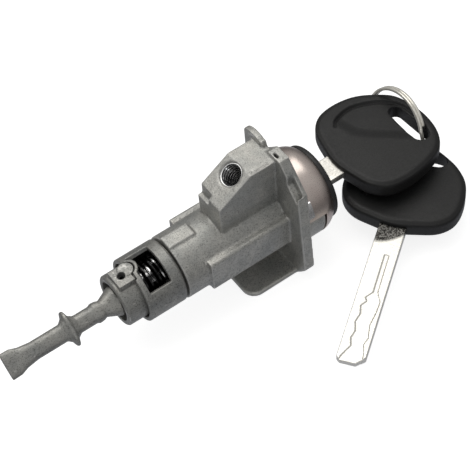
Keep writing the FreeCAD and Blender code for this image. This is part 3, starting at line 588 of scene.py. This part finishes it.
def seal_piece():
    """The rubber ring round the bezel's mouth."""
    edge = curve_through([(BEZEL_FRONT + along, SEAL_RADIUS - inward) for along, inward in SEAL_EDGE], 4)
    profile = [tuple(point) for point in edge]
    profile += [(BEZEL_FRONT + SEAL_LENGTH, SEAL_BORE + BORE_BEVEL[1]),
                (BEZEL_FRONT + SEAL_LENGTH - BORE_BEVEL[0], SEAL_BORE), (BEZEL_FRONT, SEAL_BORE)]
    seal = turned_piece("seal_ring", profile)
    dressed(seal, "lock_body", "black_rubber", ["bezel_seal"])
    seal.data.set_sharp_from_angle(angle=SHARP_ANGLE)


def screw_thread():
    """The tapped thread in the boss: a sleeve in the drilled hole whose inside is a helical ridge."""
    pitch, turns, slices, around, start = 1.25, 8, 12, 120, 0.55
    groove_radius, crest_radius, outer_radius = 3.66, 3.22, 3.72
    steepness, groove_floor = 1.25, 0.12
    axis = Vector((-SCREW_RISE, 0, SCREW_RUN)).normalized()
    side = Vector((0, 1, 0))
    up = axis.cross(side)
    loops = []
    for ring in range(slices * turns + 1):
        depth = start + ring * pitch / slices
        radii = []
        for step in range(around):
            phase = (depth / pitch - step / around) % 1.0
            ridge = min(1.0, max(0.0, steepness * (1 - abs(2 * phase - 1)) - groove_floor))
            radii.append(groove_radius + (crest_radius - groove_radius) * ridge)
        loops.append((depth, radii))
    loops.append((start + turns * pitch, [outer_radius] * around))
    loops.append((start, [outer_radius] * around))
    verts = []
    for depth, radii in loops:
        for step, radius in enumerate(radii):
            angle = 2 * math.pi * step / around
            out = side * math.cos(angle) + up * math.sin(angle)
            verts.append(SCREW_MOUTH - axis * depth + out * radius)
    piece = solid_from("screw_thread", verts, bridged(len(loops), around, wrapped=True))
    dressed(piece, "lock_body", "cast_zinc", finish=cut_zinc())


def spare_turn():
    """The spare key's place, from the place of the key in the lock, in metres."""
    return (Matrix.Translation(SPARE_PLACE * MM) @ Matrix.Rotation(math.radians(SPARE_TURN), 4, "Z")
            @ Matrix.Translation((-BOW_START * MM, 0, 0)))


def head_pad(name, front):
    """A key head's pad with round edges, still flat, and its outline."""
    line = curve_through(HEAD_REAR[::-1] + front[::-1], 10, closed=True)
    count = len(line)
    inward = []
    for index in range(count):
        run = line[(index + 1) % count] - line[index - 1]
        inward.append(np.array((run[1], -run[0])) / np.hypot(*run))
    levels = []
    for step in range(HEAD_EDGE_STEPS + 1):
        angle = math.pi / 2 * step / HEAD_EDGE_STEPS
        levels.append((HEAD_HALF_THICK - HEAD_EDGE_ROUND * (1 - math.cos(angle)),
                       HEAD_EDGE_ROUND * (1 - math.sin(angle))))
    levels += [(-height, inset) for height, inset in reversed(levels)]
    verts = []
    for height, inset in levels:
        for point, turn in zip(line, inward):
            at = point + turn * inset
            verts.append((BOW_START + at[0], at[1], height))
    return solid_from(name, verts, bridged(len(levels), count)), line


def cut_hole(piece):
    """Cuts the ring's long hole out of a key head."""
    middle, outline = BOW_START + HOLE_ALONG, []
    for centre, radius, start in ((HOLE_HIGH, HOLE_HIGH_RADIUS, 0), (HOLE_LOW, HOLE_LOW_RADIUS, math.pi)):
        for step in range(HOLE_STEPS + 1):
            angle = start + math.pi * step / HOLE_STEPS
            outline.append((middle + radius * math.cos(angle), centre + radius * math.sin(angle)))
    cut_with(piece, plate("hole_tool", outline, -2 * HEAD_HALF_THICK, 2 * HEAD_HALF_THICK))


def key_head(name, front):
    """A moulded head: a crowned pad with round edges, the ring's hole and a hollow scooped beside it."""
    piece, line = head_pad(name, front)
    cut_hole(piece)
    rounded(piece, voxel=0.27, rounds=4, most_triangles=100000)
    rows = places(piece)
    flat = rows[:, :2] - (BOW_START, 0)
    upper = curve_through(HOLLOW_UPPER, 6)
    lower = curve_through(HOLLOW_LOWER, 6)
    from_upper = distance_to(flat, upper, False)
    from_lower = distance_to(flat, lower, False)
    wall = smooth_step(from_upper, 0.0, HOLLOW_WALL)
    fade = smooth_step(from_lower, 0.0, HOLLOW_FADE)
    sunk = HOLLOW_DEPTH * (wall * fade)
    sunk += HOLLOW_LINE_DEPTH * np.exp(-(from_upper / HOLLOW_LINE_WIDTH - 1) ** 2)
    sunk = np.where(inside_of(flat, upper + lower[1:-1]), sunk, 0.0)
    fallen = HEAD_CROWN * (1 - smooth_step(distance_to(flat, line, True), 0.0, HEAD_CROWN_REACH))
    lowest, highest = HEAD_FACE
    face = smooth_step(np.abs(rows[:, 2]), HEAD_HALF_THICK - lowest, HEAD_HALF_THICK - highest)
    rows[:, 2] -= np.sign(rows[:, 2]) * face * (sunk + fallen)
    set_places(piece, rows)
    return piece


def key_blade(name):
    """A laser-cut blade in the key's own place: a plate with a wandering track milled in each face."""
    tip, root, half = BOW_START - BLADE_LENGTH, BOW_START + BLADE_ROOT, BLADE_HALF_WIDTH
    outline = [(tip, half - TIP_CORNER), (tip, TIP_CHAMFER - half), (tip + TIP_CHAMFER, -half),
               (root, -half), (root, half), (tip + TIP_CORNER, half)]
    piece = plate(name, outline, -BLADE_HALF_THICK, BLADE_HALF_THICK)
    rounded(piece, voxel=0.16, rounds=2, most_triangles=90000)
    rows = places(piece)
    along = rows[:, 0] - BOW_START
    above = np.sign(rows[:, 2])
    across = rows[:, 1] * above
    near = np.interp(along, *zip(*TRACK_NEAR))
    far = np.interp(along, *zip(*TRACK_FAR))
    inside = np.minimum(near - across, across - far)
    depth = TRACK_DEPTH * smooth_step(inside, -TRACK_SOFTNESS, TRACK_SOFTNESS)
    depth *= 1 - smooth_step(along, *TRACK_END)
    lowest, highest = BLADE_FACE
    face = smooth_step(np.abs(rows[:, 2]), BLADE_HALF_THICK - lowest, BLADE_HALF_THICK - highest)
    rows[:, 2] -= above * face * depth
    set_places(piece, rows)
    # Marks the blade's root, where the painted reflection of the black head goes.
    near_head = piece.data.attributes.new("near_head", "FLOAT", "POINT")
    edge = along - REFLECTION_CURVE * (BLADE_HALF_WIDTH - rows[:, 1]) ** 2
    near_head.data.foreach_set("value", smooth_step(edge, *REFLECTION_EDGE))
    return piece


def keys():
    """Both keys, each a blade and a moulded head; the spare's blade carries the painted reflection of the
    head at full strength.
    """
    blade = key_blade("key_blade_milled")
    head = key_head("key_head_moulding", HEAD_FRONT)
    spare_blade = object_from("spare_key_blade_milled", blade.data.copy())
    spare_head = key_head("spare_key_head_moulding", SPARE_FRONT)
    for piece in (spare_blade, spare_head):
        piece.data.transform(spare_turn())
    dressed(blade, "key", "key_steel", ["key_blade"])
    dressed(head, "key", "black_plastic", ["key_head"])
    # The spare's blade has the painted reflection of the black head at full strength.
    dressed(spare_blade, "ring_set", "key_steel", ["spare_key_blade"], key_steel("painted_reflection_key_steel", 1.0))
    dressed(spare_head, "ring_set", "black_plastic", ["spare_key_head"])


def split_ring():
    """The split ring: two turns of flattened wire side by side, with one crossing between them."""
    half_width, half_depth, gap = 0.52, 0.56, 0.54
    crossing, landing, opening, steps, section_steps = 0.55, 0.06, 0.08, 360, 16
    tilt = math.radians(RING_TILT)
    normal = Vector((math.cos(tilt), 0, -math.sin(tilt)))
    first = Vector((0, -1, 0))
    second = normal.cross(first)
    section = []
    for step in range(section_steps):
        angle = 2 * math.pi * step / section_steps
        bulge = (abs(math.cos(angle)) ** 4 + abs(math.sin(angle)) ** 4) ** -0.25
        section.append((half_width * math.cos(angle) * bulge, half_depth * math.sin(angle) * bulge))
    whole = 4 * math.pi - crossing - opening
    verts = []
    for step in range(steps + 1):
        angle = whole * step / steps
        passed = min(1.0, max(0.0, (angle - (2 * math.pi - crossing)) / (crossing - landing)))
        shift = gap * (2 * passed * passed * (3 - 2 * passed) - 1)
        out = first * math.cos(angle) + second * math.sin(angle)
        for across, depth in section:
            verts.append(RING_CENTRE + normal * (shift + across) + out * (RING_RADIUS + depth))
    piece = solid_from("split_ring", verts, bridged(steps + 1, len(section)))
    dressed(piece, "ring_set", "steel", ["key_ring"], plated_wire())


def lit_world():
    """Soft surroundings: bright above, dim at the horizon, and below as bright as a pale table."""
    world = bpy.data.worlds.new("studio")
    bpy.context.scene.world = world
    world.use_nodes = True
    tree = world.node_tree
    up = node(tree, "SeparateXYZ", {"Vector": node(tree, "TexCoord").outputs["Generated"]}).outputs["Z"]
    tone = ramp(tree, spread(tree, up, 0, 1, -1, 1), (0.0, (0.46, 0.47, 0.50)),
                (0.18, (0.40, 0.41, 0.44)), (0.38, 0.12), (0.50, 0.18), (0.60, 0.33), (1.0, 0.52))
    background = tree.nodes["Background"]
    tree.links.new(tone, background.inputs["Color"])
    background.inputs["Strength"].default_value = 1.0


def soft_box(name, place, aim, width, height, radiance, tint=(1, 1, 1)):
    """A rectangular softbox of even radiance, aimed at a point; places in metres."""
    light = bpy.data.lights.new(name, "AREA")
    light.shape = "RECTANGLE"
    light.size, light.size_y = width, height
    light.energy = radiance * math.pi * width * height
    light.color = tint
    lamp = bpy.data.objects.new(name, light)
    bpy.context.scene.collection.objects.link(lamp)
    lamp.location = place
    lamp.rotation_euler = (Vector(aim) - Vector(place)).to_track_quat("-Z", "Y").to_euler()


def studio():
    """Three softboxes, and a floor that looks white without lighting the part from below."""
    lit_world()
    soft_box("top_softbox", place=(0.02, 0.22, 0.55), aim=(0.02, 0, 0), width=0.7, height=0.45,
             radiance=1.75, tint=(1.0, 0.985, 0.95))
    soft_box("left_softbox", place=(-0.45, 0.25, 0.30), aim=(0, 0, 0), width=0.35, height=0.35,
             radiance=0.42)
    soft_box("near_softbox", place=(-0.22, -0.50, 0.17), aim=(0.02, 0, 0.02), width=0.08, height=0.08,
             radiance=9.0, tint=(0.98, 0.99, 1.0))
    height = cad_box[0][2] - FLOOR_GAP
    turns = ((-1, -1), (1, -1), (1, 1), (-1, 1))
    corners = [(FLOOR_REACH * x, FLOOR_REACH * y, height) for x, y in turns]
    floor_mesh = bpy.data.meshes.new("floor")
    floor_mesh.from_pydata(corners, [], [(0, 1, 2, 3)])
    floor = object_from("floor", floor_mesh)
    paper, _, shader = material("floor_paper", Roughness=0.9, Emission_Strength=0.82)
    shader.inputs["Base Color"].default_value = (0.45, 0.45, 0.45, 1)
    shader.inputs["Emission Color"].default_value = (1, 1, 1, 1)
    floor_mesh.materials.append(paper)
    floor.visible_diffuse = False
    floor.visible_glossy = False


def camera():
    """The camera at the photograph's viewpoint."""
    angles = (CAMERA_AZIMUTH, CAMERA_ELEVATION, CAMERA_ROLL)
    azimuth, elevation, roll = (math.radians(angle) for angle in angles)
    forward = Vector((math.sin(azimuth) * math.cos(elevation), math.cos(azimuth) * math.cos(elevation),
                      -math.sin(elevation)))
    level = Vector((math.cos(azimuth), -math.sin(azimuth), 0))
    down = forward.cross(level)
    right = level * math.cos(roll) + down * math.sin(roll)
    up = right.cross(forward)
    lens = bpy.data.cameras.new("camera")
    lens.lens = CAMERA_LENS
    lens.clip_start = 0.01
    made = bpy.data.objects.new("camera", lens)
    bpy.context.scene.collection.objects.link(made)
    turn = Matrix((right, up, -forward)).transposed().to_4x4()
    made.matrix_world = Matrix.Translation(CAMERA_PLACE) @ turn
    bpy.context.scene.camera = made


FINISH = finish_nodes()
housing_piece()
small_castings()
bezel_piece()
seal_piece()
screw_thread()
keys()
split_ring()
studio()
camera()
bpy.context.scene.view_settings.view_transform = "Standard"
